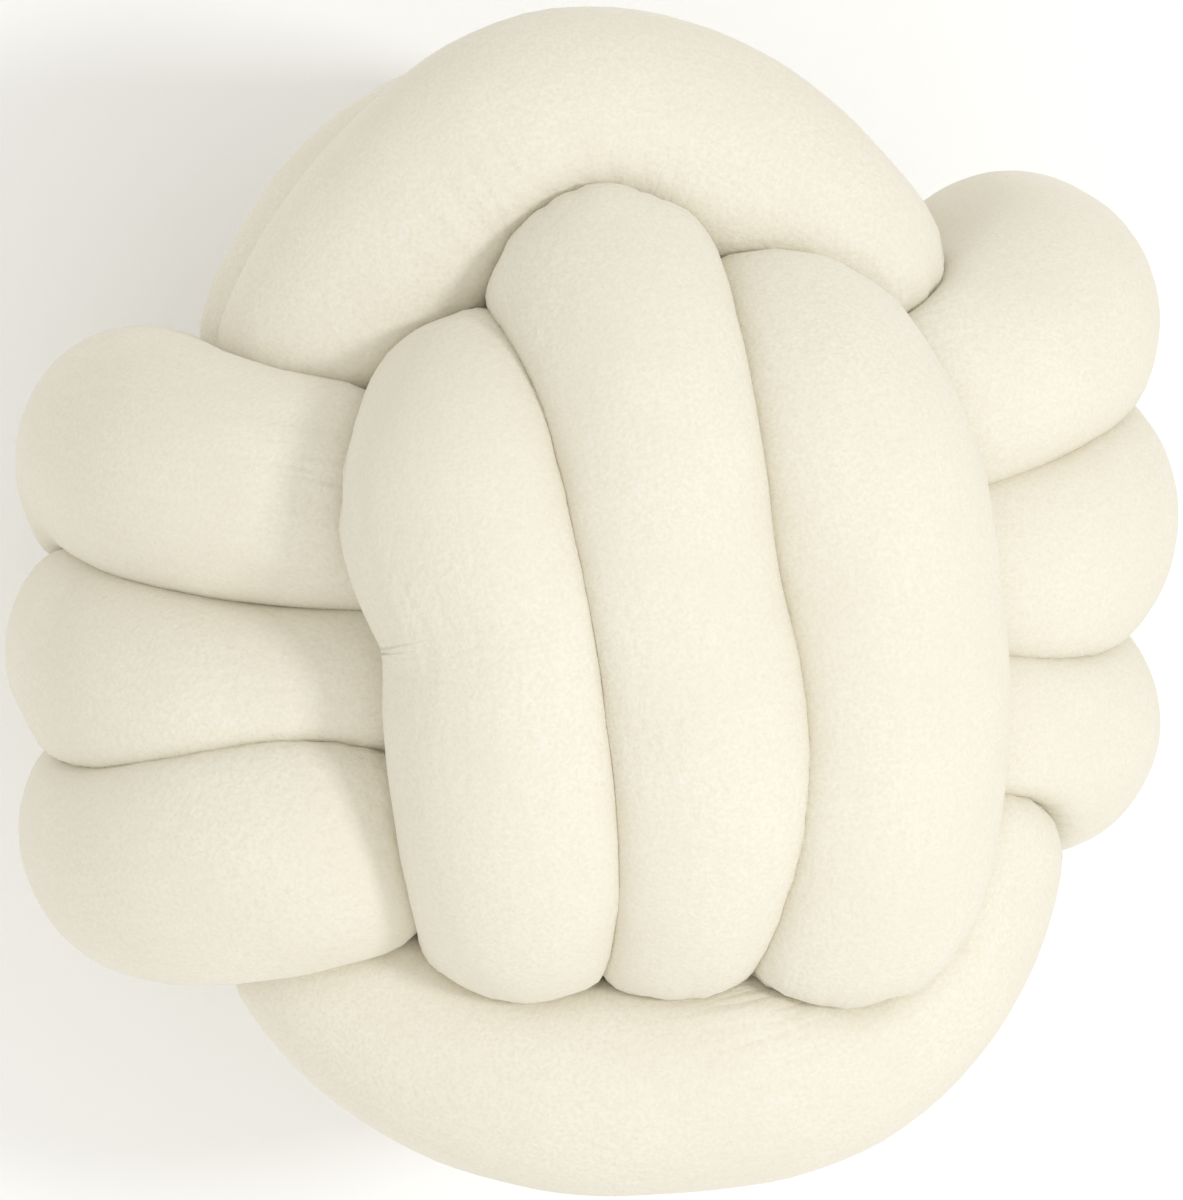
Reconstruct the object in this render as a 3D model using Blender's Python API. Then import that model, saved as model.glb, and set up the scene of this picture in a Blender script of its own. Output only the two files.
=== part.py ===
"""Knot cushion: one long stuffed tube, wound three turns each way and pulled together into a ball.

Metres, +Z up. The ball lies on its back with its face up: X runs to the right across the face and Y to
its top. Three upright strands cross the face, three more strands wrap the two sides, and the last three
form a ring whose arches lie over the ends of the upright strands.
"""

import math

import bmesh
import bpy
import numpy as np
from mathutils.bvhtree import BVHTree

MM = 0.001

# the stuffed tube
TUBE_SIDES = 20
END_ROUNDING = 0.024

# how close two pressed walls come: side by side, and where strands cross
SIDE_GAP = 0.0010
CROSSING_GAP = 0.0030
LEAST_RADIUS = 0.004
EDGE_SHARPNESS = 24.0

# where facets of crossing strands still meet, their rings are drawn in step by step until this is free
FREE_MARGIN = 0.0004
DRAW_IN = 0.0006
DRAW_ROUNDS = 60
OWN_RINGS = 2

# how near another stretch of the tube has to lie to press on this one, and how far off along the tube it has
# to be to count as a neighbour, or as a strand of its own
NEIGHBOUR_REACH = 0.118
NEIGHBOUR_ARC = 0.025
STRAND_ARC = 0.085

# spacing of the rings along the tube, where it shows and where it is inside the ball
SHOWN_STEP = 0.0194
HIDDEN_STEP = 0.0290
HIDDEN_DEPTH = 0.084
SHOWN_DEPTH = 0.104

# the flat that the ball rests on, measured down from its middle
REST_DEPTH = 0.1370

# each bundle: the way its turns reach out first, the way they tuck in first, the way they lie side by side
BUNDLES = {
    "ring": {"out": (0, -1, 0), "tuck": (1, 0, 0), "along": (0, 0, 1)},
    "side": {"out": (-1, 0, 0), "tuck": (0, 0, 1), "along": (0, 1, 0)},
    "face": {"out": (0, 0, 1), "tuck": (0, 1, 0), "along": (1, 0, 0)},
}

# a row for each turn in winding order, lengths in millimetres. The first half of a turn bows out the first
# way, the second half the other way, and each bundle's tucked limbs lie under another bundle:
# place in the bundle, shift towards the first half, reach of the halves, reach of the first and second
# tucked limbs, how much farther the second lies in the first half, squareness of each half, share of the
# place kept at each tucked limb, how far the tucked limbs hang to one side, lean of each half, tilt of the
# first half against the second, girth, how much thicker the first half is at its second end, and how far its
# middle is nudged aside
TURN_COLUMNS = (
    "place", "shift", "reach", "tuck_1", "tuck_2", "flare", "square_1", "square_2", "keep_1", "keep_2",
    "hang", "lean_1", "lean_2", "tilt", "girth", "swell", "nudge",
)
TURNS = {
    "ring": (
        (-56, 0, 118, 74, 69, 0, 2.90, 2.20, 0.74, 0.74, 0, 0, 0, 0, 31, 0, 0),
        (0.5, 0, 116.5, 83, 79, 0, 2.90, 2.20, 0.74, 0.74, 0, 0, 0, 0, 31, 0, 0),
        (66.5, 1, 114, 77, 84, 11.5, 2.55, 1.85, 0.80, 0.53, 0, -12.5, -0.5, 0, 35.5, -4, 0),
    ),
    "side": (
        (-46, 5, 116.5, 76, 77, 0, 3.35, 2.55, 0.86, 0.84, -2, 5.5, 3, -1.5, 34.5, -4, 0),
        (9.5, 0.5, 118.5, 65.5, 79, 0, 4.80, 4.60, 0.86, 0.84, -17, 6.5, 10, -10.5, 34.5, 1.5, 0),
        (59, -4.5, 118, 72, 78.5, 0, 3.70, 3.25, 0.86, 0.84, -16, -6, 7.5, -9, 32.5, 0, 0),
    ),
    "face": (
        (51, 0, 107.5, 60, 96.5, 0, 3.55, 3.20, 0.77, 0.77, -5, 1, 0, 0, 35, 0.5, -1.5),
        (4, 0, 117, 92.5, 82.5, 0, 2.90, 2.60, 0.80, 0.79, -5.5, 4.5, 0, 0, 33, 3.5, -6),
        (-43, 0, 113.5, 48.5, 73.5, 0, 3.55, 3.20, 0.52, 1.03, 3.5, 11, 0, 0, 33, 0, 9.5),
    ),
}

# the part of its three turns that each bundle takes, the share of a turn in which it steps aside, and the
# share of a half turn that a nudge bends
SPANS = {"ring": (0.11, 2.86), "side": (0.140, 2.94), "face": (0.04, 2.90)}
SIDESTEP = 0.18
NUDGE_REACH = 0.30

# inside the ball the tube runs free: a row for each place it passes, in millimetres
# x, y, z, girth, pull along x, y, z
FREE_RUNS = {
    "before ring": ((22, -12, -42, 27, 45, -22, 2),),
    "before side": ((40, 5, 38, 28, -40, -45, -8), (-18, -38, 42, 28, -50, -22, 22)),
    "before face": ((-14, 30, 44, 28, -25, 0, -45), (4, 28, 0, 28, 40, 8, -25), (42, 36, -8, 28, 12, 42, 12)),
    "after face": ((-38, 16, -16, 27, 6, -35, 18),),
}
FREE_PULL = 0.045

# sampling of the route before it is cut to rings
SAMPLES_A_TURN = 360
BRIDGE_SAMPLES = 60
FINE_STEP = 0.001
SOFTENING = 0.008
PRESS_STEP = 0.008

CREAM_PLUSH = (0.860, 0.810, 0.690, 1.0)
PLUSH_ROUGHNESS = 0.95


def ease(share):
    """Smooth step from 0 to 1."""
    share = np.clip(share, 0.0, 1.0)
    return share * share * (3.0 - 2.0 * share)


def turn_number(turns, count):
    """Which turn of a bundle the tube is on, moving over to the next one around each whole number."""
    nearest = np.round(turns)
    past = turns - nearest
    number = np.floor(turns)
    stepping = (np.abs(past) < SIDESTEP) & (nearest > 0) & (nearest < count)
    moved = nearest - 1 + ease((past + SIDESTEP) / (2.0 * SIDESTEP))
    return np.clip(np.where(stepping, moved, number), 0, count - 1)


def bundle_arc(name):
    """Centre line of one bundle of turns, with the tube's girth as a fourth column."""
    first, last = SPANS[name]
    turns = np.linspace(first, last, int((last - first) * SAMPLES_A_TURN))
    rows = TURNS[name]
    number = turn_number(turns, len(rows))
    size = {}
    for column, key in enumerate(TURN_COLUMNS):
        size[key] = np.interp(number, range(len(rows)), [row[column] for row in rows])
    cosine = np.cos(2.0 * math.pi * turns)
    sine = np.sin(2.0 * math.pi * turns)
    square = (size["square_1"] * (1.0 + sine) + size["square_2"] * (1.0 - sine)) / 2.0
    tuck = np.where(cosine > 0.0, size["tuck_1"], size["tuck_2"] + size["flare"] * sine)
    keep = np.where(cosine > 0.0, size["keep_1"], size["keep_2"])
    tucked = np.abs(cosine / tuck)
    outward = np.abs(sine / size["reach"])
    biggest = np.maximum(tucked, outward)
    both = (tucked / biggest) ** square + (outward / biggest) ** square
    radius = 1.0 / (biggest * both ** (1.0 / square))
    tuck_way = radius * cosine
    out_way = radius * sine + size["shift"]
    depth = (tuck_way / tuck) ** 2
    along_way = size["place"] * (1.0 - (1.0 - keep) * depth)
    along_way += size["hang"] * depth
    along_way -= size["lean_1"] * (tuck_way / tuck) * np.maximum(sine, 0.0)
    along_way -= size["lean_2"] * (tuck_way / tuck) * np.maximum(-sine, 0.0)
    along_way += size["tilt"] * sine
    middle = np.exp(-((tuck_way / tuck / NUDGE_REACH) ** 2))
    along_way += size["nudge"] * middle * np.maximum(sine, 0.0)
    axes = BUNDLES[name]
    line = np.outer(out_way, axes["out"])
    line += np.outer(tuck_way, axes["tuck"])
    line += np.outer(along_way, axes["along"])
    girth = size["girth"] - size["swell"] * (tuck_way / tuck) * np.maximum(sine, 0.0)
    return np.column_stack([line, girth]) * MM


def bridge(start, leaving, end, entering):
    """Centre line from one point and direction to another."""
    share = np.linspace(0.0, 1.0, BRIDGE_SAMPLES + 2)[1:-1, None]
    line = (2 * share**3 - 3 * share**2 + 1) * start
    line = line + (share**3 - 2 * share**2 + share) * leaving
    line = line + (3 * share**2 - 2 * share**3) * end
    return line + (share**3 - share**2) * entering


def heading(points, index):
    """Unit direction of a line at its first or last point."""
    step = points[1] - points[0] if index == 0 else points[-1] - points[-2]
    return np.append(step[:3] / np.linalg.norm(step[:3]), 0.0)


def free_run(name, before, after):
    """Centre line between two arcs, or between an arc and a hidden end, by way of the named places."""
    knots = []
    if before is not None:
        knots.append((before[-1], heading(before, -1) * FREE_PULL))
    for x, y, z, girth, *pull in FREE_RUNS[name]:
        knots.append((np.array((x, y, z, girth)) * MM, np.array((*pull, 0.0)) * MM))
    if after is not None:
        knots.append((after[0], heading(after, 0) * FREE_PULL))
    stretches = []
    for (start, leaving), (end, entering) in zip(knots, knots[1:]):
        stretches.append(bridge(start, leaving, end, entering))
    if before is None:
        stretches.insert(0, knots[0][0][None])
    if after is None:
        stretches.append(knots[-1][0][None])
    return np.vstack(stretches)


def whole_route():
    """Centre line and girth of the whole tube, from one hidden end to the other."""
    ring = bundle_arc("ring")
    side = bundle_arc("side")
    face = bundle_arc("face")
    stretches = [
        free_run("before ring", None, ring),
        ring,
        free_run("before side", ring, side),
        side,
        free_run("before face", side, face),
        face,
        free_run("after face", face, None),
    ]
    return np.vstack(stretches)


def arc_lengths(points):
    """Distance along a line to each of its points."""
    steps = np.linalg.norm(np.diff(points[:, :3], axis=0), axis=1)
    return np.concatenate([[0.0], np.cumsum(steps)])


def at_lengths(points, lengths):
    """Points of a line, with its girth, at the given distances along it."""
    along = arc_lengths(points)
    return np.stack([np.interp(lengths, along, column) for column in points.T], axis=1)


def soften(points):
    """Even out a finely cut line as a stuffed tube would, keeping its two ends."""
    reach = int(4 * SOFTENING / FINE_STEP)
    offsets = np.arange(-reach, reach + 1) * FINE_STEP
    weights = np.exp(-0.5 * (offsets / SOFTENING) ** 2)
    weights /= weights.sum()
    before = 2 * points[0] - points[reach:0:-1]
    after = 2 * points[-1] - points[-2 : -reach - 2 : -1]
    padded = np.vstack([before, points, after])
    return np.stack([np.convolve(column, weights, "valid") for column in padded.T], axis=1)


def fine_route():
    """The softened centre line, cut every FINE_STEP."""
    rough = whole_route()
    even = at_lengths(rough, np.arange(0.0, arc_lengths(rough)[-1], FINE_STEP))
    return soften(even)


def ring_lengths(route):
    """Distances along the route of the tube's rings: close together where it shows."""
    along = arc_lengths(route)
    depth = np.linalg.norm(route[:, :3], axis=1)
    shown = ease((depth - HIDDEN_DEPTH) / (SHOWN_DEPTH - HIDDEN_DEPTH))
    step = HIDDEN_STEP + (SHOWN_STEP - HIDDEN_STEP) * shown
    last = along[-1]
    from_end = np.minimum(along, last - along)
    step = np.where(from_end < END_ROUNDING, END_ROUNDING / 4.0, step)
    ring_count = np.concatenate([[0.0], np.cumsum(np.diff(along) / step[:-1])])
    whole = int(round(ring_count[-1]))
    return np.interp(np.linspace(0.0, ring_count[-1], whole + 1), ring_count, along)


def tube_radii(girths, lengths, last):
    """Radius of the tube at distances along it, rounded off at both ends."""
    from_end = np.clip(np.minimum(lengths, last - lengths) / END_ROUNDING, 0.0, 1.0)
    return girths * np.sqrt(np.clip(1.0 - (1.0 - from_end) ** 2, 0.03, 1.0))


def directions(points):
    """Unit direction of a line at each of its points."""
    ways = np.gradient(points, axis=0)
    return ways / np.linalg.norm(ways, axis=1)[:, None]


def wall_limits(centre, way, place, radius, spokes, press):
    """How far the tube's wall can go from a ring's centre along each spoke before it meets a neighbour."""
    offset = press["points"] - centre
    distance = np.linalg.norm(offset, axis=1)
    apart = np.abs(press["lengths"] - place)
    near = (apart > NEIGHBOUR_ARC) & (distance > 1e-6) & (distance < NEIGHBOUR_REACH)
    offset = offset[near] / distance[near, None]
    distance = distance[near]
    crossing = 1.0 - np.abs(press["ways"][near] @ way)
    gap = np.where(apart[near] > STRAND_ARC, SIDE_GAP + CROSSING_GAP * crossing, 0.0)
    middle = (distance**2 + radius**2 - press["radii"][near] ** 2) / (2.0 * distance)
    facing = spokes @ offset.T
    room = np.maximum(middle - gap / 2.0, LEAST_RADIUS)
    return np.where(facing > 0.05, room / np.maximum(facing, 0.05), 1.0).min(axis=1)


def press_together(rings, centres, radii, lengths, route):
    """Press the round rings of the tube against their neighbours and against the rest plane."""
    last = arc_lengths(route)[-1]
    press_lengths = np.arange(0.0, last, PRESS_STEP)
    line = at_lengths(route, press_lengths)
    press = {
        "points": line[:, :3],
        "lengths": press_lengths,
        "radii": tube_radii(line[:, 3], press_lengths, last),
        "ways": directions(line[:, :3]),
    }
    ways = directions(centres)
    spokes = rings - centres[:, None]
    spokes /= np.linalg.norm(spokes, axis=2)[:, :, None]
    limits = np.empty(rings.shape[:2])
    for index, centre in enumerate(centres):
        limits[index] = wall_limits(centre, ways[index], lengths[index], radii[index], spokes[index], press)
    full = radii[:, None]
    pressed = (full**-EDGE_SHARPNESS + limits**-EDGE_SHARPNESS) ** (-1.0 / EDGE_SHARPNESS)
    around = (np.roll(pressed, 1, axis=1) + 2 * pressed + np.roll(pressed, -1, axis=1)) / 4.0
    pressed = np.minimum(pressed, around)
    pressed = draw_apart(centres, spokes, pressed)
    down = -spokes[:, :, 2]
    to_rest = (centres[:, 2] + REST_DEPTH)[:, None] / np.maximum(down, 0.05)
    pressed = np.where(down > 0.05, np.minimum(pressed, to_rest), pressed)
    return centres[:, None] + spokes * pressed[:, :, None]


def draw_apart(centres, spokes, pressed):
    """Draw the tube's rings in where its facets still touch those of another strand."""
    count, sides = pressed.shape
    ring = np.arange(count - 1)[:, None] * sides
    side = np.arange(sides)[None]
    beside = (side + 1) % sides
    corners = [ring + side, ring + beside, ring + sides + beside, ring + sides + side]
    quads = np.stack(corners, axis=2).reshape(-1, 4)
    faces = quads.tolist()
    pressed = pressed.copy()
    for _ in range(DRAW_ROUNDS):
        points = centres[:, None] + spokes * (pressed + FREE_MARGIN)[:, :, None]
        tree = BVHTree.FromPolygons(points.reshape(-1, 3).tolist(), faces)
        pairs = np.array(tree.overlap(tree), dtype=int).reshape(-1, 2)
        apart = np.abs(pairs[:, 0] // sides - pairs[:, 1] // sides) > OWN_RINGS
        meeting = np.unique(pairs[apart])
        if len(meeting) == 0:
            break
        touched = np.unique(quads[meeting])
        flat = pressed.reshape(-1)
        flat[touched] = np.maximum(flat[touched] - DRAW_IN, LEAST_RADIUS / 2.0)
    return pressed


def round_tube(name, centres, radii, sides, collection):
    """A plain round tube along the centre line, made as a curve with a bevel and turned into a mesh."""
    curve = bpy.data.curves.new(name + "_route", "CURVE")
    curve.dimensions = "3D"
    curve.twist_mode = "MINIMUM"
    curve.bevel_depth = 1.0
    curve.bevel_resolution = (sides - 4) // 2
    spline = curve.splines.new("POLY")
    spline.points.add(len(centres) - 1)
    for point, centre, radius in zip(spline.points, centres, radii):
        point.co = (*centre, 1.0)
        point.radius = radius
    holder = bpy.data.objects.new(name + "_route", curve)
    collection.objects.link(holder)
    bpy.context.view_layer.update()
    evaluated = holder.evaluated_get(bpy.context.evaluated_depsgraph_get())
    mesh = bpy.data.meshes.new_from_object(evaluated)
    bpy.data.objects.remove(holder)
    bpy.data.curves.remove(curve)
    mesh.name = name
    tube = bpy.data.objects.new(name, mesh)
    collection.objects.link(tube)
    return tube


def close_ends(mesh):
    """Close the two hidden ends of the tube."""
    work = bmesh.new()
    work.from_mesh(mesh)
    open_edges = [edge for edge in work.edges if edge.is_boundary]
    bmesh.ops.holes_fill(work, edges=open_edges, sides=0)
    bmesh.ops.recalc_face_normals(work, faces=work.faces)
    work.to_mesh(mesh)
    work.free()


def plush_material():
    """Cream short-pile knit."""
    material = bpy.data.materials.new("cream_plush")
    material.use_nodes = True
    shader = material.node_tree.nodes["Principled BSDF"]
    shader.inputs["Base Color"].default_value = CREAM_PLUSH
    shader.inputs["Roughness"].default_value = PLUSH_ROUGHNESS
    shader.inputs["Metallic"].default_value = 0.0
    return material


def stuffed_tube(collection):
    """The whole cushion: the tube pressed into its ball, standing on its flat."""
    route = fine_route()
    lengths = ring_lengths(route)
    line = at_lengths(route, lengths)
    centres = line[:, :3]
    radii = tube_radii(line[:, 3], lengths, arc_lengths(route)[-1])
    tube = round_tube("stuffed_tube", centres, radii, TUBE_SIDES, collection)
    mesh = tube.data
    flat = np.empty(len(mesh.vertices) * 3)
    mesh.vertices.foreach_get("co", flat)
    rings = flat.reshape(len(centres), TUBE_SIDES, 3)
    pressed = press_together(rings, centres, radii, lengths, route).reshape(-1, 3)
    middle = (pressed.min(axis=0) + pressed.max(axis=0)) / 2.0
    pressed -= (middle[0], middle[1], -REST_DEPTH)
    mesh.vertices.foreach_set("co", pressed.ravel())
    close_ends(mesh)
    mesh.shade_smooth()
    mesh.materials.clear()
    mesh.materials.append(plush_material())
    mesh.update()
    return tube


def main():
    for old in list(bpy.data.objects):
        bpy.data.objects.remove(old)
    collection = bpy.data.collections.new("knot_cushion")
    bpy.context.scene.collection.children.link(collection)
    stuffed_tube(collection)


main()
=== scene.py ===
"""Knot cushion: the plush surface of one long stuffed tube, wound three turns each way into a ball.

Metres, +Z up. The ball lies on its back with its face up: X runs to the right across the face and Y to
its top. The tube follows the same route as its solid, cut much finer, and is pressed, puckered and given
its short pile here.
"""

import math

import bmesh
import bpy
import numpy as np
from mathutils import Matrix, Vector, noise


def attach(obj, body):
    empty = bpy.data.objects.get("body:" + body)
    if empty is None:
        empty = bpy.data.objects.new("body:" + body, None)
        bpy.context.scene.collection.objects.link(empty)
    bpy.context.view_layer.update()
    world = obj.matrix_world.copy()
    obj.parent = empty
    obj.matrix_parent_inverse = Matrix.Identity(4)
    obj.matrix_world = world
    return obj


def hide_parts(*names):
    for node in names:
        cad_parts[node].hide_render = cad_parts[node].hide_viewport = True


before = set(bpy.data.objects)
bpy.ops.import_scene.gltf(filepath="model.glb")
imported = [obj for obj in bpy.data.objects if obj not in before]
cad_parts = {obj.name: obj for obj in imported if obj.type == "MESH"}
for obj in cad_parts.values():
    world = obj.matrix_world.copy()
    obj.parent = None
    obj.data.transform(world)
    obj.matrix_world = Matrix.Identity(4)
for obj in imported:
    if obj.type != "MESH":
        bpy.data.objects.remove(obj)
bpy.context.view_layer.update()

bl_info = {
    "name": "Knot cushion",
    "version": (1, 0, 0),
    "blender": (4, 5, 0),
    "location": "3D View > Sidebar > Knot cushion",
    "description": "Builds the plush surface of a knot ball cushion and the stage that it lies on",
    "category": "Object",
}

MM = 0.001

# distance round the pressed tube
TUBE_GIRTH = 0.186

# each bundle: the way its turns reach out first, the way they tuck in first, the way they lie side by side
BUNDLES = {
    "ring": {"out": (0, -1, 0), "tuck": (1, 0, 0), "along": (0, 0, 1)},
    "side": {"out": (-1, 0, 0), "tuck": (0, 0, 1), "along": (0, 1, 0)},
    "face": {"out": (0, 0, 1), "tuck": (0, 1, 0), "along": (1, 0, 0)},
}

# a row for each turn in winding order, lengths in millimetres. The first half of a turn bows out the first
# way, the second half the other way, and each bundle's tucked limbs lie under another bundle:
# place in the bundle, shift towards the first half, reach of the halves, reach of the first and second
# tucked limbs, how much farther the second lies in the first half, squareness of each half, share of the
# place kept at each tucked limb, how far the tucked limbs hang to one side, lean of each half, tilt of the
# first half against the second, girth (the round tube's radius), how much thicker the first half is at its
# second end, and how far its middle is nudged aside
TURN_COLUMNS = (
    "place", "shift", "reach", "tuck_1", "tuck_2", "flare", "square_1", "square_2", "keep_1", "keep_2",
    "hang", "lean_1", "lean_2", "tilt", "girth", "swell", "nudge",
)
TURNS = {
    "ring": (
        (-56, 0, 118, 74, 69, 0, 2.90, 2.20, 0.74, 0.74, 0, 0, 0, 0, 31, 0, 0),
        (0.5, 0, 116.5, 83, 79, 0, 2.90, 2.20, 0.74, 0.74, 0, 0, 0, 0, 31, 0, 0),
        (66.5, 1, 114, 77, 84, 11.5, 2.55, 1.85, 0.80, 0.53, 0, -12.5, -0.5, 0, 35.5, -4, 0),
    ),
    "side": (
        (-46, 5, 116.5, 76, 77, 0, 3.35, 2.55, 0.86, 0.84, -2, 5.5, 3, -1.5, 34.5, -4, 0),
        (9.5, 0.5, 118.5, 65.5, 79, 0, 4.80, 4.60, 0.86, 0.84, -17, 6.5, 10, -10.5, 34.5, 1.5, 0),
        (59, -4.5, 118, 72, 78.5, 0, 3.70, 3.25, 0.86, 0.84, -16, -6, 7.5, -9, 32.5, 0, 0),
    ),
    "face": (
        (51, 0, 107.5, 60, 96.5, 0, 3.55, 3.20, 0.77, 0.77, -5, 1, 0, 0, 35, 0.5, -1.5),
        (4, 0, 117, 92.5, 82.5, 0, 2.90, 2.60, 0.80, 0.79, -5.5, 4.5, 0, 0, 33, 3.5, -6),
        (-43, 0, 113.5, 48.5, 73.5, 0, 3.55, 3.20, 0.52, 1.03, 3.5, 11, 0, 0, 33, 0, 9.5),
    ),
}

# the part of its three turns that each bundle takes, the share of a turn in which it steps aside, and the
# share of a half turn that a nudge bends
SPANS = {"ring": (0.11, 2.86), "side": (0.140, 2.94), "face": (0.04, 2.90)}
SIDESTEP = 0.18
NUDGE_REACH = 0.30

# inside the ball the tube runs free: a row for each place it passes, in millimetres, with x, y, z, girth and
# the pull along x, y, z that carries it on. FREE_PULL is the pull where it leaves or joins a bundle
FREE_RUNS = {
    "before ring": ((22, -12, -42, 27, 45, -22, 2),),
    "before side": ((40, 5, 38, 28, -40, -45, -8), (-18, -38, 42, 28, -50, -22, 22)),
    "before face": ((-14, 30, 44, 28, -25, 0, -45), (4, 28, 0, 28, 40, 8, -25), (42, 36, -8, 28, 12, 42, 12)),
    "after face": ((-38, 16, -16, 27, 6, -35, 18),),
}
FREE_PULL = 0.045

# sampling of the route before it is cut to rings, and the distance over which its bends are evened out
SAMPLES_A_TURN = 360
BRIDGE_SAMPLES = 60
FINE_STEP = 0.001
SOFTENING = 0.008

# distances from the ball's middle between which the tube's rings move from hidden to shown spacing
HIDDEN_DEPTH = 0.084
SHOWN_DEPTH = 0.104

# rounding of the tube's two ends: its length, its rings, and the least square of the radius's share
END_ROUNDING = 0.024
END_RINGS = 8
LEAST_END = 0.03

# neighbours press on a ring from this far off, at points this far apart and at least this far along the tube
NEIGHBOUR_REACH = 0.118
PRESS_STEP = 0.005
NEIGHBOUR_ARC = 0.025

# the pile meshes where other strands touch, side by side or crossing: those at least this far along the tube
PILE_OVERLAP = 0.0020
CROSSING_OVERLAP = 0.0015
STRAND_ARC = 0.085

# a pressed wall: its least distance from the centre line, how squarely it has to face a neighbour to meet it,
# its distance where none presses, how sharp its edge is, and the rounds that soften it and fill its kinks
LEAST_RADIUS = 0.004
LEAST_FACING = 0.05
UNPRESSED = 1.0
EDGE_SHARPNESS = 32.0
EVEN_ROUNDS = 2
KINK_ROUNDS = 8

# height of the ball's middle above the flat that it rests on
REST_DEPTH = 0.1370

# lumps of filling fade out between these shares of the full radius, and finer ones lie on them: their share
# of the size and of the height
FREE_SHARES = (0.80, 0.98)
FINE_LUMP_SIZE = 0.33
FINE_LUMP_HEIGHT = 0.35

# where the cloth gathers: beside a wall pressed in below the first share of its radius and fully from the
# second, spread over the wall in as many steps; and inside a bend that squeezes the cloth by these shares
PRESSED_SHARES = (0.97, 0.77)
GATHER_STEPS = 6
PUCKER_SQUEEZE = (0.34, 0.90)

# places on the face where the knot draws the cloth together, in millimetres from the ball's middle: how far
# that reaches, and how much of it shows as folds round the tube and along it
DRAWN_COLUMNS = ("x", "y", "z", "reach", "round", "long")
DRAWN_PLACES = (
    (-21, 97, 95, 18, 1.0, 0.0),
    (10, 98, 98, 12, 0.9, 0.0),
    (70, 69, 91, 13, 0.8, 0.4),
    (-77, 34, 98, 20, 0.15, 0.9),
    (15, -101, 98, 18, 0.1, 0.9),
    (-60, -8, 130, 24, 0.45, 0.25),
)

# spacing and run of the folds that gathering leaves in the wall, how far they swing and sink as shares of
# their depth, and the least share of gathering that leaves any
FOLD_SPACING = 0.0085
FOLD_RUN = 0.030
FOLD_SWING = 2.0
FOLD_SINK = 0.5
LEAST_GATHER = 0.02

# guards a division where nothing changes, and tells a ring's own centre from its neighbours'
TINY = 1e-4
SAME_POINT = 1e-6

# the camera looks down on the face from a little to its left, turned a little
CAMERA_TARGET = (0.0008, -0.0005, 0.137)
CAMERA_ROLL = math.radians(6.4)
CAMERA_LEAN = math.radians(8.3)
CAMERA_DISTANCE = 1.25
CAMERA_LENS = 142.0

# the key light hangs high at the face's right, so that the upright strands shade the ones beside them. A
# broad fill light hangs past the face's lower edge, and the room lights the rest evenly
KEY_PLACE = (0.70, -0.05, 1.50)
KEY_SIZE = 0.22
KEY_COLOUR = (0.93, 0.95, 1.0)
FILL_PLACE = (-0.25, -0.95, 1.15)
FILL_SIZE = 1.2
ROOM_COLOUR = (1.0, 0.985, 0.945, 1.0)
FLOOR_REACH = 3.0


def linear(hex_colour):
    """Linear colour of an sRGB hex value."""
    channels = [int(hex_colour[place : place + 2], 16) / 255.0 for place in (1, 3, 5)]
    return tuple(c / 12.92 if c <= 0.04045 else ((c + 0.055) / 1.055) ** 2.4 for c in channels)


class PlushTube(bpy.types.PropertyGroup):
    """Sizes and colours of the stuffed tube."""

    sides: bpy.props.IntProperty(
        name="Sides", description="Faces round the tube", default=68, min=24, max=68
    )
    shown_step: bpy.props.FloatProperty(
        name="Ring spacing", description="Spacing of the tube's rings where it shows",
        default=0.0038, unit="LENGTH",
    )
    hidden_step: bpy.props.FloatProperty(
        name="Hidden ring spacing", description="Spacing of its rings inside the ball",
        default=0.0090, unit="LENGTH",
    )
    lump_height: bpy.props.FloatProperty(
        name="Lump height", description="Unevenness of the filling", default=0.0009, unit="LENGTH"
    )
    lump_size: bpy.props.FloatProperty(
        name="Lump size", description="Distance from one lump of filling to the next",
        default=0.042, unit="LENGTH",
    )
    fold_depth: bpy.props.FloatProperty(
        name="Fold depth", description="Depth of the folds where the cloth gathers",
        default=0.0024, unit="LENGTH",
    )
    plush: bpy.props.FloatVectorProperty(
        name="Plush", description="Colour of the pile", subtype="COLOR", default=linear("#EAE6DA")
    )
    plush_deep: bpy.props.FloatVectorProperty(
        name="Deep plush", description="Colour between the tips of the pile",
        subtype="COLOR", default=linear("#E2DCCA"),
    )


class CushionStage(bpy.types.PropertyGroup):
    """The pale floor and the soft studio light."""

    floor: bpy.props.FloatVectorProperty(
        name="Floor", description="Colour of the floor", subtype="COLOR", default=linear("#FBFBFB")
    )
    key_power: bpy.props.FloatProperty(
        name="Key light", description="Power of the key light at the face's right", default=6.6, min=0.0
    )
    fill_power: bpy.props.FloatProperty(
        name="Fill light", description="Power of the light above the face", default=2.6, min=0.0
    )
    sky: bpy.props.FloatProperty(
        name="Room light", description="Strength of the even light all round", default=0.86, min=0.0
    )


def ease(share):
    """Smooth step from 0 to 1."""
    share = np.clip(share, 0.0, 1.0)
    return share * share * (3.0 - 2.0 * share)


def turn_number(turns, count):
    """Which turn of a bundle the tube is on, moving over to the next one around each whole number."""
    nearest = np.round(turns)
    past = turns - nearest
    number = np.floor(turns)
    stepping = (np.abs(past) < SIDESTEP) & (nearest > 0) & (nearest < count)
    moved = nearest - 1 + ease((past + SIDESTEP) / (2.0 * SIDESTEP))
    return np.clip(np.where(stepping, moved, number), 0, count - 1)


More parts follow.
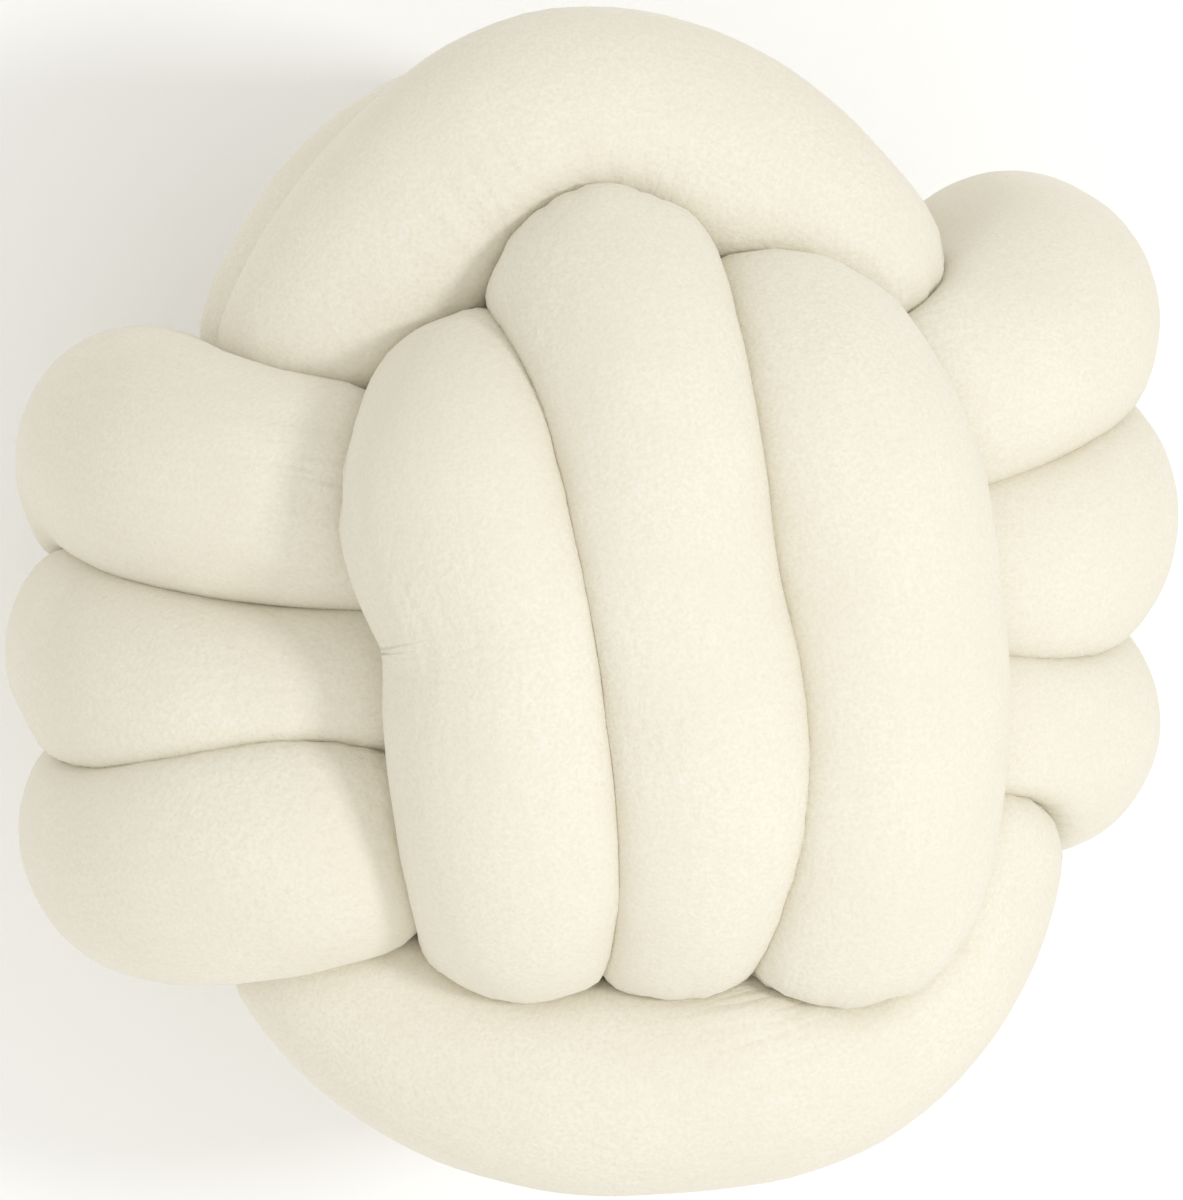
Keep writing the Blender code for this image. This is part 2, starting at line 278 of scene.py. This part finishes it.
def bundle_arc(name):
    """Centre line of one bundle of turns, with the tube's girth as a fourth column."""
    first, last = SPANS[name]
    turns = np.linspace(first, last, int((last - first) * SAMPLES_A_TURN))
    rows = TURNS[name]
    number = turn_number(turns, len(rows))
    size = {}
    for column, key in enumerate(TURN_COLUMNS):
        size[key] = np.interp(number, range(len(rows)), [row[column] for row in rows])
    cosine = np.cos(2.0 * math.pi * turns)
    sine = np.sin(2.0 * math.pi * turns)
    square = (size["square_1"] * (1.0 + sine) + size["square_2"] * (1.0 - sine)) / 2.0
    tuck = np.where(cosine > 0.0, size["tuck_1"], size["tuck_2"] + size["flare"] * sine)
    keep = np.where(cosine > 0.0, size["keep_1"], size["keep_2"])
    tucked = np.abs(cosine / tuck)
    outward = np.abs(sine / size["reach"])
    biggest = np.maximum(tucked, outward)
    both = (tucked / biggest) ** square + (outward / biggest) ** square
    radius = 1.0 / (biggest * both ** (1.0 / square))
    tuck_way = radius * cosine
    out_way = radius * sine + size["shift"]
    depth = (tuck_way / tuck) ** 2
    along_way = size["place"] * (1.0 - (1.0 - keep) * depth)
    along_way += size["hang"] * depth
    along_way -= size["lean_1"] * (tuck_way / tuck) * np.maximum(sine, 0.0)
    along_way -= size["lean_2"] * (tuck_way / tuck) * np.maximum(-sine, 0.0)
    along_way += size["tilt"] * sine
    middle = np.exp(-((tuck_way / tuck / NUDGE_REACH) ** 2))
    along_way += size["nudge"] * middle * np.maximum(sine, 0.0)
    axes = BUNDLES[name]
    line = np.outer(out_way, axes["out"])
    line += np.outer(tuck_way, axes["tuck"])
    line += np.outer(along_way, axes["along"])
    girth = size["girth"] - size["swell"] * (tuck_way / tuck) * np.maximum(sine, 0.0)
    return np.column_stack([line, girth]) * MM


def bridge(start, leaving, end, entering):
    """Centre line from one point and pull to another, without the two points themselves."""
    share = np.linspace(0.0, 1.0, BRIDGE_SAMPLES + 2)[1:-1, None]
    line = (2 * share**3 - 3 * share**2 + 1) * start
    line = line + (share**3 - 2 * share**2 + share) * leaving
    line = line + (3 * share**2 - 2 * share**3) * end
    return line + (share**3 - share**2) * entering


def heading(points, index):
    """Unit direction of a line at its first or last point."""
    step = points[1] - points[0] if index == 0 else points[-1] - points[-2]
    return np.append(step[:3] / np.linalg.norm(step[:3]), 0.0)


def free_run(name, before, after):
    """Centre line between two arcs, or between an arc and a hidden end, by way of the named places."""
    knots = []
    if before is not None:
        knots.append((before[-1], heading(before, -1) * FREE_PULL))
    for x, y, z, girth, *pull in FREE_RUNS[name]:
        knots.append((np.array((x, y, z, girth)) * MM, np.array((*pull, 0.0)) * MM))
    if after is not None:
        knots.append((after[0], heading(after, 0) * FREE_PULL))
    stretches = []
    for (start, leaving), (end, entering) in zip(knots, knots[1:]):
        stretches.append(bridge(start, leaving, end, entering))
    if before is None:
        stretches.insert(0, knots[0][0][None])
    if after is None:
        stretches.append(knots[-1][0][None])
    return np.vstack(stretches)


def whole_route():
    """Centre line and girth of the whole tube, from one hidden end to the other."""
    ring = bundle_arc("ring")
    side = bundle_arc("side")
    face = bundle_arc("face")
    stretches = [
        free_run("before ring", None, ring),
        ring,
        free_run("before side", ring, side),
        side,
        free_run("before face", side, face),
        face,
        free_run("after face", face, None),
    ]
    return np.vstack(stretches)


def arc_lengths(points):
    """Distance along a line to each of its points."""
    steps = np.linalg.norm(np.diff(points[:, :3], axis=0), axis=1)
    return np.concatenate([[0.0], np.cumsum(steps)])


def at_lengths(points, lengths):
    """Points of a line, with its girth, at the given distances along it."""
    along = arc_lengths(points)
    return np.stack([np.interp(lengths, along, column) for column in points.T], axis=1)


def soften(points):
    """Even out a finely cut line as a stuffed tube would, keeping its two ends."""
    reach = int(4 * SOFTENING / FINE_STEP)
    offsets = np.arange(-reach, reach + 1) * FINE_STEP
    weights = np.exp(-0.5 * (offsets / SOFTENING) ** 2)
    weights /= weights.sum()
    before = 2 * points[0] - points[reach:0:-1]
    after = 2 * points[-1] - points[-2 : -reach - 2 : -1]
    padded = np.vstack([before, points, after])
    return np.stack([np.convolve(column, weights, "valid") for column in padded.T], axis=1)


def fine_route():
    """The softened centre line, cut every FINE_STEP."""
    rough = whole_route()
    even = at_lengths(rough, np.arange(0.0, arc_lengths(rough)[-1], FINE_STEP))
    return soften(even)


def ring_lengths(route, sizes):
    """Distances along the route of the tube's rings: close together where it shows."""
    along = arc_lengths(route)
    depth = np.linalg.norm(route[:, :3], axis=1)
    shown = ease((depth - HIDDEN_DEPTH) / (SHOWN_DEPTH - HIDDEN_DEPTH))
    step = sizes.hidden_step + (sizes.shown_step - sizes.hidden_step) * shown
    last = along[-1]
    from_end = np.minimum(along, last - along)
    step = np.where(from_end < END_ROUNDING, END_ROUNDING / END_RINGS, step)
    ring_count = np.concatenate([[0.0], np.cumsum(np.diff(along) / step[:-1])])
    whole = int(round(ring_count[-1]))
    return np.interp(np.linspace(0.0, ring_count[-1], whole + 1), ring_count, along)


def tube_radii(girths, lengths, last):
    """Radius of the tube at distances along it, rounded off at both ends."""
    from_end = np.clip(np.minimum(lengths, last - lengths) / END_ROUNDING, 0.0, 1.0)
    return girths * np.sqrt(np.clip(1.0 - (1.0 - from_end) ** 2, LEAST_END, 1.0))


def directions(points):
    """Unit direction of a line at each of its points."""
    ways = np.gradient(points, axis=0)
    return ways / np.linalg.norm(ways, axis=1)[:, None]


def wall_limits(centre, way, place, radius, spokes, press):
    """How far the tube's wall can go from a ring's centre along each spoke before it meets a neighbour."""
    offset = press["points"] - centre
    distance = np.linalg.norm(offset, axis=1)
    apart = np.abs(press["lengths"] - place)
    near = (apart > NEIGHBOUR_ARC) & (distance > SAME_POINT) & (distance < NEIGHBOUR_REACH)
    offset = offset[near] / distance[near, None]
    distance = distance[near]
    side_by_side = np.abs(press["ways"][near] @ way)
    meshed = CROSSING_OVERLAP + (PILE_OVERLAP - CROSSING_OVERLAP) * side_by_side
    overlap = np.where(apart[near] > STRAND_ARC, meshed, 0.0)
    middle = (distance**2 + radius**2 - press["radii"][near] ** 2) / (2.0 * distance)
    facing = spokes @ offset.T
    room = np.maximum(middle + overlap / 2.0, LEAST_RADIUS)
    return np.where(facing > LEAST_FACING, room / np.maximum(facing, LEAST_FACING), UNPRESSED).min(axis=1)


def pressed_walls(rings, centres, radii, lengths, route):
    """Unit spokes from each ring's centre, and how far the pressed wall lies along each."""
    last = arc_lengths(route)[-1]
    press_lengths = np.arange(0.0, last, PRESS_STEP)
    line = at_lengths(route, press_lengths)
    press = {
        "points": line[:, :3],
        "lengths": press_lengths,
        "radii": tube_radii(line[:, 3], press_lengths, last),
        "ways": directions(line[:, :3]),
    }
    ways = directions(centres)
    spokes = rings - centres[:, None]
    spokes /= np.linalg.norm(spokes, axis=2)[:, :, None]
    limits = np.empty(rings.shape[:2])
    for index, centre in enumerate(centres):
        limits[index] = wall_limits(centre, ways[index], lengths[index], radii[index], spokes[index], press)
    full = radii[:, None]
    pressed = (full**-EDGE_SHARPNESS + limits**-EDGE_SHARPNESS) ** (-1.0 / EDGE_SHARPNESS)
    return spokes, pressed


def blurred(values):
    """Values on the tube's wall, blurred by a step round it and a step along it."""
    around = (np.roll(values, 1, axis=1) + 2 * values + np.roll(values, -1, axis=1)) / 4.0
    along = around.copy()
    along[1:-1] = (around[:-2] + 2 * around[1:-1] + around[2:]) / 4.0
    return along


def even_out(walls, rounds):
    """Soften the pressed walls round the tube and along it, only ever inwards."""
    for _ in range(rounds):
        walls = np.minimum(walls, blurred(walls))
    return walls


def fill_kinks(points, spokes, rounds):
    """Let the wall run smoothly over kinks, where the tube's rings crowd on the inside of a bend."""
    for _ in range(rounds):
        dip = np.zeros_like(points)
        dip[1:-1] = (points[:-2] + points[2:]) / 2.0 - points[1:-1]
        outward = (dip * spokes).sum(axis=2, keepdims=True)
        points = points + np.where(outward > 0.0, dip / 2.0, 0.0)
    return points


def between(values, start, full):
    """Share from 0 at the start value to 1 at the full one."""
    return np.clip((values - start) / (full - start), 0.0, 1.0)


def drawn_together(points, column):
    """How strongly the knot draws the cloth together at each point of the wall, from the named places."""
    share = np.zeros(points.shape[:2])
    for row in DRAWN_PLACES:
        place = dict(zip(DRAWN_COLUMNS, row))
        middle = np.array([place["x"], place["y"], place["z"]]) * MM
        away = np.linalg.norm(points - middle, axis=2) / (place["reach"] * MM)
        share = np.maximum(share, place[column] * np.exp(-(away**2)))
    return share


def gathers(centres, lengths, spokes, walls, radii):
    """How strongly the cloth gathers at each point of the wall, in folds round the tube and along it."""
    pressed = between(walls / radii[:, None], *PRESSED_SHARES)
    for _ in range(GATHER_STEPS):
        pressed = blurred(pressed)
    across = np.abs(np.gradient(pressed, axis=1))
    along = np.abs(np.gradient(pressed, axis=0))
    lengthwise = (along + TINY) / (along + across + 2.0 * TINY)
    bend = np.gradient(directions(centres), lengths, axis=0)
    squeeze = radii[:, None] * (spokes @ bend[:, :, None])[:, :, 0]
    puckers = between(squeeze, *PUCKER_SQUEEZE)
    points = centres[:, None] + spokes * walls[:, :, None]
    round_folds = np.maximum(pressed * (1.0 - lengthwise), puckers)
    return {
        "round_folds": np.maximum(round_folds, drawn_together(points, "round")),
        "long_folds": np.maximum(pressed * lengthwise, drawn_together(points, "long")),
    }


def add_folds(walls, shares, lengths, radii, depth):
    """Small folds in the wall where the cloth gathers: crossing a bend, or running off a pressed edge."""
    sides = walls.shape[1]
    turn = np.arange(sides) * (2.0 * math.pi / sides)
    folded = walls.copy()
    for name, along_size, around_size in (
        ("round_folds", FOLD_SPACING, FOLD_RUN), ("long_folds", FOLD_RUN, FOLD_SPACING),
    ):
        share = shares[name]
        for ring, side in zip(*np.nonzero(share > LEAST_GATHER)):
            across = radii[ring] / around_size
            place = Vector(
                (lengths[ring] / along_size, across * math.cos(turn[side]), across * math.sin(turn[side]))
            )
            height = FOLD_SWING * abs(noise.noise(place)) - FOLD_SINK
            folded[ring, side] += depth * share[ring, side] * height
    return folded


def add_lumps(points, walls, radii, sizes):
    """Unevenness of the filling, fading out where a wall is pressed."""
    free = between(walls / radii[:, None], *FREE_SHARES)
    flat = points.reshape(-1, 3)
    broad = np.array([noise.noise(Vector(point) / sizes.lump_size) for point in flat])
    small = np.array([noise.noise(Vector(point) / (sizes.lump_size * FINE_LUMP_SIZE)) for point in flat])
    height = sizes.lump_height * (broad + FINE_LUMP_HEIGHT * small)
    return walls + height.reshape(walls.shape) * free


def round_tube(name, centres, radii, sides, collection):
    """A plain round tube along the centre line, made as a curve with a bevel and turned into a mesh."""
    curve = bpy.data.curves.new(name + "_route", "CURVE")
    curve.dimensions = "3D"
    curve.twist_mode = "MINIMUM"
    curve.bevel_depth = 1.0
    curve.bevel_resolution = (sides - 4) // 2
    spline = curve.splines.new("POLY")
    spline.points.add(len(centres) - 1)
    for point, centre, radius in zip(spline.points, centres, radii):
        point.co = (*centre, 1.0)
        point.radius = radius
    holder = bpy.data.objects.new(name + "_route", curve)
    collection.objects.link(holder)
    bpy.context.view_layer.update()
    evaluated = holder.evaluated_get(bpy.context.evaluated_depsgraph_get())
    mesh = bpy.data.meshes.new_from_object(evaluated)
    bpy.data.objects.remove(holder)
    bpy.data.curves.remove(curve)
    mesh.name = name
    tube = bpy.data.objects.new(name, mesh)
    collection.objects.link(tube)
    return tube


def lay_pile_map(mesh, lengths, sides):
    """UV map in metres along and round the tube, for the lie of the pile."""
    while mesh.uv_layers:
        mesh.uv_layers.remove(mesh.uv_layers[0])
    layer = mesh.uv_layers.new(name="pile")
    corners = np.empty(len(mesh.loops), dtype=np.int32)
    mesh.loops.foreach_get("vertex_index", corners)
    ring = corners // sides
    side = (corners % sides).reshape(-1, 4)
    wraps = side.max(axis=1) - side.min(axis=1) > sides // 2
    side = np.where(wraps[:, None] & (side < sides // 2), side + sides, side).ravel()
    around = side * (TUBE_GIRTH / sides)
    layer.data.foreach_set("uv", np.stack([lengths[ring], around], axis=1).astype(np.float32).ravel())


def lay_shares(mesh, shares):
    """Keep shares worked out on the wall as attributes of the mesh, for its material."""
    for name, values in shares.items():
        layer = mesh.attributes.new(name=name, type="FLOAT", domain="POINT")
        layer.data.foreach_set("value", values.astype(np.float32).ravel())


def close_ends(mesh):
    """Close the two hidden ends of the tube."""
    work = bmesh.new()
    work.from_mesh(mesh)
    open_edges = [edge for edge in work.edges if edge.is_boundary]
    bmesh.ops.holes_fill(work, edges=open_edges, sides=0)
    bmesh.ops.recalc_face_normals(work, faces=work.faces)
    work.to_mesh(mesh)
    work.free()


def node(tree, kind, settings=None, links=None):
    """Add a node with its settings and links: a link is an input's name and the socket that feeds it."""
    made = tree.nodes.new(kind)
    for name, value in (settings or {}).items():
        if isinstance(name, int) or name in made.inputs:
            made.inputs[name].default_value = value
        else:
            setattr(made, name, value)
    for name, socket in (links or {}).items():
        tree.links.new(socket, made.inputs[name])
    return made


def new_material(name):
    """An empty node material and its tree."""
    material = bpy.data.materials.new(name)
    material.use_nodes = True
    material.node_tree.nodes.clear()
    return material, material.node_tree


def per_metre(millimetres):
    """Scale of a pattern whose grains are this far apart."""
    return 1.0 / (millimetres * MM)


def small_folds(tree, lie, share, along, around):
    """Height of small folds this long along and round the tube, as strong as a share on the mesh says."""
    scale = (per_metre(along), per_metre(around), 1.0)
    run = node(tree, "ShaderNodeMapping", {"Scale": scale}, {"Vector": lie})
    fold = node(tree, "ShaderNodeTexNoise", {"Scale": 1.0, "Detail": 1.5}, {"Vector": run.outputs["Vector"]})
    level = node(tree, "ShaderNodeMath", {"operation": "SUBTRACT", 1: 0.5}, {0: fold.outputs["Fac"]})
    pinched = node(tree, "ShaderNodeMath", {"operation": "ABSOLUTE"}, {0: level.outputs["Value"]})
    amount = node(tree, "ShaderNodeAttribute", {"attribute_name": share})
    height = node(
        tree, "ShaderNodeMath", {"operation": "MULTIPLY"},
        {0: pinched.outputs["Value"], 1: amount.outputs["Fac"]},
    )
    return height.outputs["Value"]


def short_pile_plush(look):
    """Polyester velboa: a knit with a brushed pile about 1.5 mm long, soft, matt and pale at the edges."""
    material, tree = new_material("velboa_short_pile")
    place = node(tree, "ShaderNodeTexCoord")
    lie = node(tree, "ShaderNodeUVMap", {"uv_map": "pile"})
    # pile tips stand in tufts about 1.1 mm apart, drawn a little coarser than the real 0.7 mm to show
    tufts = node(
        tree, "ShaderNodeTexNoise", {"Scale": per_metre(1.1), "Detail": 3.0, "Roughness": 0.6},
        {"Vector": place.outputs["Object"]},
    )
    # the knit's wales run along the tube, and brushing leaves streaks 10 to 20 mm long and 2 mm wide
    brushed = node(
        tree, "ShaderNodeMapping", {"Scale": (per_metre(11.0), per_metre(1.9), 1.0)},
        {"Vector": lie.outputs["UV"]},
    )
    streaks = node(
        tree, "ShaderNodeTexNoise", {"Scale": 1.0, "Detail": 3.0, "Roughness": 0.55},
        {"Vector": brushed.outputs["Vector"]},
    )
    # handling ruffles the pile in patches a few centimetres wide
    patches = node(
        tree, "ShaderNodeTexNoise", {"Scale": per_metre(36.0), "Detail": 4.0, "Roughness": 0.6},
        {"Vector": place.outputs["Object"]},
    )
    grain = node(
        tree, "ShaderNodeMix", {"data_type": "FLOAT", "Factor": 0.18},
        {"A": tufts.outputs["Fac"], "B": streaks.outputs["Fac"]},
    )
    depth = node(
        tree, "ShaderNodeMapRange", {"From Min": 0.32, "From Max": 0.62, "To Min": 0.0, "To Max": 1.0},
        {"Value": grain.outputs["Result"]},
    )
    ruffle = node(
        tree, "ShaderNodeMapRange", {"From Min": 0.35, "From Max": 0.65, "To Min": 0.55, "To Max": 1.0},
        {"Value": patches.outputs["Fac"]},
    )
    amount = node(
        tree, "ShaderNodeMath", {"operation": "MULTIPLY"},
        {0: depth.outputs["Result"], 1: ruffle.outputs["Result"]},
    )
    colour = node(
        tree, "ShaderNodeMix", {"data_type": "RGBA", "A": (*look.plush_deep, 1.0), "B": (*look.plush, 1.0)},
        {"Factor": amount.outputs["Value"]},
    )
    # pressed edges and tight bends gather the cloth in folds 6 to 8 mm apart and about 30 mm long
    round_folds = small_folds(tree, lie.outputs["UV"], "round_folds", 6.7, 31.0)
    long_folds = small_folds(tree, lie.outputs["UV"], "long_folds", 36.0, 5.9)
    folds = node(tree, "ShaderNodeMath", {"operation": "ADD"}, {0: round_folds, 1: long_folds})
    # here and there, in patches about 6 cm wide, the pile is rubbed up in curls 3 mm wide
    curls = node(
        tree, "ShaderNodeTexNoise", {"Scale": per_metre(3.0), "Detail": 2.0, "Roughness": 0.5},
        {"Vector": place.outputs["Object"]},
    )
    rubbed = node(
        tree, "ShaderNodeTexNoise", {"Scale": per_metre(59.0), "Detail": 1.0},
        {"Vector": place.outputs["Object"]},
    )
    rubbed_share = node(
        tree, "ShaderNodeMapRange", {"From Min": 0.50, "From Max": 0.66, "To Min": 0.12, "To Max": 1.0},
        {"Value": rubbed.outputs["Fac"]},
    )
    curl_height = node(
        tree, "ShaderNodeMath", {"operation": "MULTIPLY"},
        {0: curls.outputs["Fac"], 1: rubbed_share.outputs["Result"]},
    )
    fold_relief = node(
        tree, "ShaderNodeBump", {"Strength": 1.0, "Distance": 3.0 * MM}, {"Height": folds.outputs["Value"]}
    )
    curl_relief = node(
        tree, "ShaderNodeBump", {"Strength": 0.5, "Distance": 1.0 * MM},
        {"Height": curl_height.outputs["Value"], "Normal": fold_relief.outputs["Normal"]},
    )
    relief = node(
        tree, "ShaderNodeBump", {"Strength": 0.30, "Distance": 0.8 * MM},
        {"Height": grain.outputs["Result"], "Normal": curl_relief.outputs["Normal"]},
    )
    shader = node(
        tree, "ShaderNodeBsdfPrincipled",
        {
            "Roughness": 0.92, "IOR": 1.45, "Specular IOR Level": 0.25,
            "Sheen Weight": 0.22, "Sheen Roughness": 0.45, "Sheen Tint": (1.0, 0.98, 0.94, 1.0),
        },
        {"Base Color": colour.outputs["Result"], "Normal": relief.outputs["Normal"]},
    )
    node(tree, "ShaderNodeOutputMaterial", None, {"Surface": shader.outputs["BSDF"]})
    return material


def matt_paper(colour):
    """Seamless studio paper: a matt, even white with a faint fibre mottle, drawn 3 mm coarse to show."""
    material, tree = new_material("studio_paper_matt")
    place = node(tree, "ShaderNodeTexCoord")
    fibre = node(
        tree, "ShaderNodeTexNoise", {"Scale": per_metre(3.3), "Detail": 2.0},
        {"Vector": place.outputs["Object"]},
    )
    relief = node(
        tree, "ShaderNodeBump", {"Strength": 0.05, "Distance": 0.2 * MM}, {"Height": fibre.outputs["Fac"]}
    )
    shader = node(
        tree, "ShaderNodeBsdfPrincipled",
        {"Base Color": (*colour, 1.0), "Roughness": 0.9, "Specular IOR Level": 0.2},
        {"Normal": relief.outputs["Normal"]},
    )
    node(tree, "ShaderNodeOutputMaterial", None, {"Surface": shader.outputs["BSDF"]})
    return material


def stuffed_tube(sizes, collection):
    """The plush tube, pressed into its ball and lying on its flat."""
    route = fine_route()
    lengths = ring_lengths(route, sizes)
    line = at_lengths(route, lengths)
    centres = line[:, :3]
    radii = tube_radii(line[:, 3], lengths, arc_lengths(route)[-1])
    tube = round_tube("plush_tube", centres, radii, sizes.sides, collection)
    mesh = tube.data
    flat = np.empty(len(mesh.vertices) * 3)
    mesh.vertices.foreach_get("co", flat)
    rings = flat.reshape(len(centres), sizes.sides, 3)
    spokes, walls = pressed_walls(rings, centres, radii, lengths, route)
    walls = even_out(walls, EVEN_ROUNDS)
    points = centres[:, None] + spokes * walls[:, :, None]
    walls = add_lumps(points, walls, radii, sizes)
    shares = gathers(centres, lengths, spokes, walls, radii)
    walls = add_folds(walls, shares, lengths, radii, sizes.fold_depth)
    points = fill_kinks(centres[:, None] + spokes * walls[:, :, None], spokes, KINK_ROUNDS)
    points[:, :, 2] = np.maximum(points[:, :, 2], -REST_DEPTH)
    points = points.reshape(-1, 3)
    middle = (points.min(axis=0) + points.max(axis=0)) / 2.0
    points -= (middle[0], middle[1], -REST_DEPTH)
    mesh.vertices.foreach_set("co", points.ravel())
    lay_pile_map(mesh, lengths, sizes.sides)
    lay_shares(mesh, shares)
    close_ends(mesh)
    mesh.shade_smooth()
    mesh.materials.clear()
    mesh.materials.append(short_pile_plush(sizes))
    mesh.update()
    return tube


class KNOTCUSHION_OT_plush_tube(bpy.types.Operator):
    """Build the plush tube, wound and pressed into a ball"""

    bl_idname = "knot_cushion.plush_tube"
    bl_label = "Plush tube"

    def execute(self, context):
        tube = stuffed_tube(context.scene.plush_tube, context.scene.collection)
        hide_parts("stuffed_tube")
        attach(tube, "root")
        return {"FINISHED"}


def area_light(name, place, size, power, target):
    """A square soft light, aimed at the cushion."""
    lamp = bpy.data.lights.new(name, "AREA")
    lamp.shape = "SQUARE"
    lamp.size = size
    lamp.energy = power
    light = bpy.data.objects.new(name, lamp)
    bpy.context.scene.collection.objects.link(light)
    light.location = place
    light.rotation_euler = (Vector(target) - Vector(place)).to_track_quat("-Z", "Y").to_euler()
    return light


def studio_floor(colour):
    """A plain floor sheet under the cushion."""
    mesh = bpy.data.meshes.new("floor_sheet")
    work = bmesh.new()
    bmesh.ops.create_grid(work, x_segments=1, y_segments=1, size=FLOOR_REACH)
    work.to_mesh(mesh)
    work.free()
    mesh.materials.append(matt_paper(colour))
    floor = bpy.data.objects.new("floor_sheet", mesh)
    bpy.context.scene.collection.objects.link(floor)
    return floor


def face_camera():
    """The camera above the face, leaning and turned as in the photograph."""
    right = Vector((math.cos(CAMERA_ROLL), -math.sin(CAMERA_ROLL), 0.0))
    up = Vector((math.sin(CAMERA_ROLL), math.cos(CAMERA_ROLL), 0.0))
    back = Vector((0.0, 0.0, 1.0)) * math.cos(CAMERA_LEAN) - right * math.sin(CAMERA_LEAN)
    across = up.cross(back).normalized()
    turned = Matrix((across, back.cross(across), back)).transposed().to_4x4()
    turned.translation = Vector(CAMERA_TARGET) + back * CAMERA_DISTANCE
    data = bpy.data.cameras.new("face_camera")
    data.lens = CAMERA_LENS
    camera = bpy.data.objects.new("face_camera", data)
    bpy.context.scene.collection.objects.link(camera)
    camera.matrix_world = turned
    bpy.context.scene.camera = camera
    return camera


class KNOTCUSHION_OT_stage(bpy.types.Operator):
    """Lay the floor, hang the soft lights and set the camera"""

    bl_idname = "knot_cushion.stage"
    bl_label = "Stage"

    def execute(self, context):
        look = context.scene.cushion_stage
        studio_floor(look.floor)
        key = area_light("key_light", KEY_PLACE, KEY_SIZE, look.key_power, CAMERA_TARGET)
        key.data.color = KEY_COLOUR
        area_light("fill_light", FILL_PLACE, FILL_SIZE, look.fill_power, CAMERA_TARGET)
        world = bpy.data.worlds.new("soft_room")
        world.use_nodes = True
        context.scene.world = world
        background = world.node_tree.nodes["Background"]
        background.inputs["Color"].default_value = ROOM_COLOUR
        background.inputs["Strength"].default_value = look.sky
        context.scene.view_settings.view_transform = "Standard"
        face_camera()
        return {"FINISHED"}


class KNOTCUSHION_PT_panel(bpy.types.Panel):
    """Sizes, colours and steps of the knot cushion"""

    bl_idname = "KNOTCUSHION_PT_panel"
    bl_label = "Knot cushion"
    bl_space_type = "VIEW_3D"
    bl_region_type = "UI"
    bl_category = "Knot cushion"

    def draw(self, context):
        for owner, operator in (
            ("plush_tube", "knot_cushion.plush_tube"), ("cushion_stage", "knot_cushion.stage"),
        ):
            box = self.layout.box()
            values = getattr(context.scene, owner)
            for name in values.__annotations__:
                box.prop(values, name)
            box.operator(operator)


CLASSES = (PlushTube, CushionStage, KNOTCUSHION_OT_plush_tube, KNOTCUSHION_OT_stage, KNOTCUSHION_PT_panel)


def register():
    for kind in CLASSES:
        bpy.utils.register_class(kind)
    bpy.types.Scene.plush_tube = bpy.props.PointerProperty(type=PlushTube)
    bpy.types.Scene.cushion_stage = bpy.props.PointerProperty(type=CushionStage)


def unregister():
    del bpy.types.Scene.cushion_stage
    del bpy.types.Scene.plush_tube
    for kind in reversed(CLASSES):
        bpy.utils.unregister_class(kind)


def main():
    register()
    bpy.ops.knot_cushion.plush_tube()
    bpy.ops.knot_cushion.stage()


if __name__ == "__main__":
    main()
